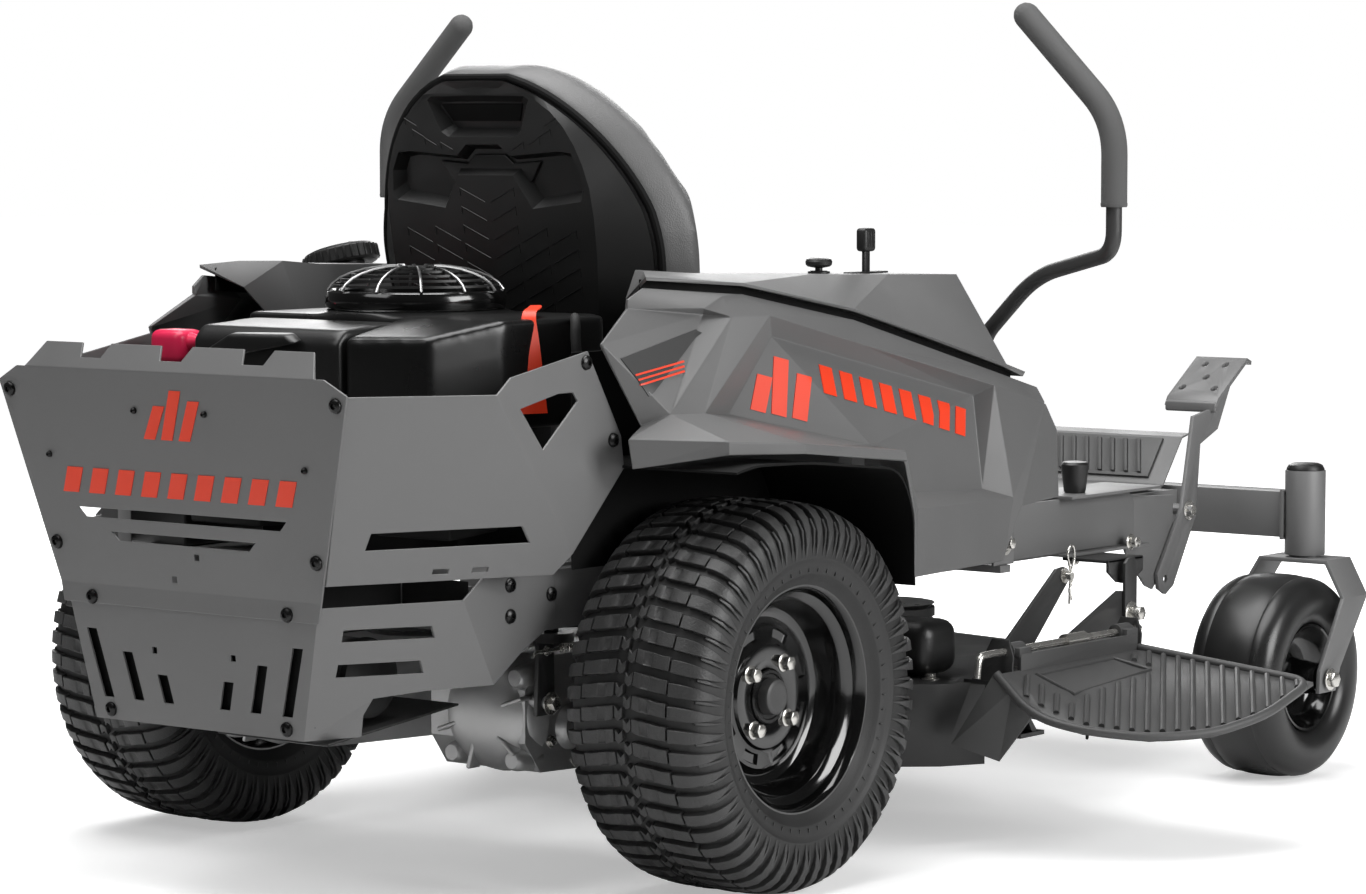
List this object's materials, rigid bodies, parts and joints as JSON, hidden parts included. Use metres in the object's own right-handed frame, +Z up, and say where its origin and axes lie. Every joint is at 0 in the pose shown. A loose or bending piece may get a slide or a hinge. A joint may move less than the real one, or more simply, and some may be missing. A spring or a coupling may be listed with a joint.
{
  "type": "zero turn mower",
  "caption": "Ride-on zero turn mower with folded steel rear guard, moulded fenders, bucket seat, swing-out steering levers, swivelling front casters and a side discharge deck.",
  "frame": {"origin": "centre of the bounding box, on the ground", "axes": "+X to the mower's right, +Y forwards, +Z up"},
  "size_m": [1.5292, 1.9798, 1.1423],
  "materials": {
    "powder": "satin powder coat",
    "black_steel": "satin black paint",
    "gloss_black": "gloss black paint",
    "moulding": "fine grained",
    "black_moulding": "moulded",
    "tyre": "matte rubber",
    "rubber": "matte rubber",
    "casting": "as cast",
    "zinc": "zinc plated",
    "steel": "machined",
    "vinyl": "grained vinyl"
  },
  "bodies": {
    "chassis": {"main_frame": "powder", "foot_pan": "powder", "foot_mat": "rubber", "rear_panel": "powder", "lower_guard": "powder", "wing_right": "powder", "wing_left": "powder", "fender_right": "moulding", "fender_left": "moulding", "console_right": "moulding", "console_left": "moulding", "fuel_tank": "black_moulding", "engine_block": "casting", "engine_shroud": "black_moulding", "air_cleaner_cover": "moulding", "fan_guard": "gloss_black", "muffler": "black_steel", "battery": "black_moulding", "transaxle_right": "casting", "transaxle_left": "casting", "drive_belt": "rubber"},
    "rear_wheel_right": {"rear_tyre_right": "tyre", "rear_rim_right": "gloss_black", "rear_hub_right": "steel"},
    "caster_right": {"caster_fork_right": "powder"},
    "caster_wheel_right": {"caster_tyre_right": "tyre", "caster_rim_right": "gloss_black"},
    "lever_bracket_body_right": {"lever_bracket_right": "zinc"},
    "lever_right": {"lever_tube_right": "black_steel", "lever_grip_right": "rubber"},
    "control_arm_body_right": {"control_arm_right": "black_steel"},
    "input_right": {"input_pulley_right": "black_steel"},
    "rear_wheel_left": {"rear_tyre_left": "tyre", "rear_rim_left": "gloss_black", "rear_hub_left": "steel"},
    "caster_left": {"caster_fork_left": "powder"},
    "caster_wheel_left": {"caster_tyre_left": "tyre", "caster_rim_left": "gloss_black"},
    "lever_bracket_body_left": {"lever_bracket_left": "zinc"},
    "lever_left": {"lever_tube_left": "black_steel", "lever_grip_left": "rubber"},
    "control_arm_body_left": {"control_arm_left": "black_steel"},
    "input_left": {"input_pulley_left": "black_steel"},
    "engine_turning": {"engine_rotor": "casting"},
    "fuel_cap_body": {"fuel_cap": "black_moulding"},
    "seat": {"seat_shell": "black_moulding", "seat_back_pad": "vinyl", "seat_base_pad": "vinyl"},
    "pedal": {"lift_pedal": "powder"},
    "deck": {"deck_shell": "black_steel", "chute_rod": "zinc", "deck_belt": "rubber"},
    "blade_body_right": {"spindle_right": "steel", "blade_right": "steel"},
    "blade_body_left": {"spindle_left": "steel", "blade_left": "steel"},
    "chute": {"discharge_chute": "rubber"},
    "height_pin_body": {"height_pin": "black_moulding"},
    "throttle": {"throttle_lever": "black_moulding"},
    "pto_knob_body": {"pto_knob": "black_moulding"}
  },
  "joints": [
    {"name": "rear_wheel_spin_right", "type": "hinge", "parent": "chassis", "child": "rear_wheel_right", "pos_m": [0.3566, -0.4178, 0.25079], "axis": [1, 0, 0], "continuous": true},
    {"name": "caster_swivel_right", "type": "hinge", "parent": "chassis", "child": "caster_right", "pos_m": [0.4091, 0.9252, 0.39], "axis": [0, 0, 1], "continuous": true},
    {"name": "caster_wheel_spin_right", "type": "hinge", "parent": "caster_right", "child": "caster_wheel_right", "pos_m": [0.4091, 0.8382, 0.15169], "axis": [1, 0, 0], "continuous": true},
    {"name": "lever_stroke_right", "type": "hinge", "parent": "chassis", "child": "lever_bracket_body_right", "pos_m": [0.2341, 0.2642, 0.598], "axis": [-1, 0, 0], "range_deg": [-12, 20]},
    {"name": "lever_swing_in_right", "type": "hinge", "parent": "lever_bracket_body_right", "child": "lever_right", "pos_m": [0.2611, 0.2642, 0.612], "axis": [0, -1, 0], "range_deg": [0, 35]},
    {"name": "control_arm_turn_right", "type": "hinge", "parent": "chassis", "child": "control_arm_body_right", "pos_m": [0.1801, -0.6028, 0.245], "axis": [-1, 0, 0], "range_deg": [-12, 8]},
    {"name": "rear_wheel_spin_left", "type": "hinge", "parent": "chassis", "child": "rear_wheel_left", "pos_m": [-0.5584, -0.4178, 0.25079], "axis": [1, 0, 0], "continuous": true},
    {"name": "caster_swivel_left", "type": "hinge", "parent": "chassis", "child": "caster_left", "pos_m": [-0.6109, 0.9252, 0.39], "axis": [0, 0, 1], "continuous": true},
    {"name": "caster_wheel_spin_left", "type": "hinge", "parent": "caster_left", "child": "caster_wheel_left", "pos_m": [-0.6109, 0.8382, 0.15169], "axis": [1, 0, 0], "continuous": true},
    {"name": "lever_stroke_left", "type": "hinge", "parent": "chassis", "child": "lever_bracket_body_left", "pos_m": [-0.4359, 0.2642, 0.598], "axis": [-1, 0, 0], "range_deg": [-12, 20]},
    {"name": "lever_swing_in_left", "type": "hinge", "parent": "lever_bracket_body_left", "child": "lever_left", "pos_m": [-0.4629, 0.2642, 0.612], "axis": [0, 1, 0], "range_deg": [0, 35]},
    {"name": "control_arm_turn_left", "type": "hinge", "parent": "chassis", "child": "control_arm_body_left", "pos_m": [-0.3819, -0.6028, 0.245], "axis": [-1, 0, 0], "range_deg": [-12, 8]},
    {"name": "engine_spin", "type": "hinge", "parent": "chassis", "child": "engine_turning", "pos_m": [-0.1009, -0.5248, 0.5], "axis": [0, 0, 1], "continuous": true},
    {"name": "input_pulley_spin_right", "type": "hinge", "parent": "chassis", "child": "input_right", "pos_m": [0.0641, -0.4478, 0.375], "axis": [0, 0, 1], "continuous": true},
    {"name": "input_pulley_spin_left", "type": "hinge", "parent": "chassis", "child": "input_left", "pos_m": [-0.2659, -0.4478, 0.375], "axis": [0, 0, 1], "continuous": true},
    {"name": "fuel_cap_turn", "type": "hinge", "parent": "chassis", "child": "fuel_cap_body", "pos_m": [-0.5129, -0.2168, 0.7855], "axis": [-0.2924, 0, 0.9563], "range_deg": [0, 120]},
    {"name": "seat_tilt", "type": "hinge", "parent": "chassis", "child": "seat", "pos_m": [-0.1009, 0.1172, 0.598], "axis": [-1, 0, 0], "range_deg": [0, 60]},
    {"name": "lift_pedal_turn", "type": "hinge", "parent": "chassis", "child": "pedal", "pos_m": [0.2741, 0.8052, 0.394], "axis": [-1, 0, 0], "range_deg": [-20, 8]},
    {"name": "deck_lift", "type": "slide", "parent": "chassis", "child": "deck", "axis": [0, 0, 1], "range_m": [-0.062, 0.026], "deforming": ["deck_belt"]},
    {"name": "blade_spin_right", "type": "hinge", "parent": "deck", "child": "blade_body_right", "pos_m": [0.1541, 0.1822, 0.2], "axis": [0, 0, 1], "continuous": true},
    {"name": "blade_spin_left", "type": "hinge", "parent": "deck", "child": "blade_body_left", "pos_m": [-0.3559, 0.2822, 0.2], "axis": [0, 0, 1], "continuous": true},
    {"name": "chute_swing", "type": "hinge", "parent": "deck", "child": "chute", "pos_m": [0.4541, 0.1822, 0.268], "axis": [0, -1, 0], "range_deg": [0, 75]},
    {"name": "height_pin_pull", "type": "slide", "parent": "chassis", "child": "height_pin_body", "axis": [0, 0, 1], "range_m": [0, 0.08]},
    {"name": "throttle_turn", "type": "hinge", "parent": "chassis", "child": "throttle", "pos_m": [0.2441, 0.0072, 0.76167], "axis": [-1, 0, 0], "range_deg": [-22, 22]},
    {"name": "pto_knob_pull", "type": "slide", "parent": "chassis", "child": "pto_knob_body", "axis": [0, 0, 1], "range_m": [0, 0.012]}
  ],
  "couplings": [
    {"joint": "control_arm_turn_right", "follows": "lever_stroke_right", "ratio": -0.5},
    {"joint": "input_pulley_spin_right", "follows": "engine_spin", "ratio": 0.7},
    {"joint": "blade_spin_right", "follows": "engine_spin", "ratio": 0.9032},
    {"joint": "control_arm_turn_left", "follows": "lever_stroke_left", "ratio": -0.5},
    {"joint": "input_pulley_spin_left", "follows": "engine_spin", "ratio": 0.7},
    {"joint": "blade_spin_left", "follows": "engine_spin", "ratio": 0.9032},
    {"joint": "deck_lift", "follows": "lift_pedal_turn", "m_per_rad": 0.17}
  ]
}
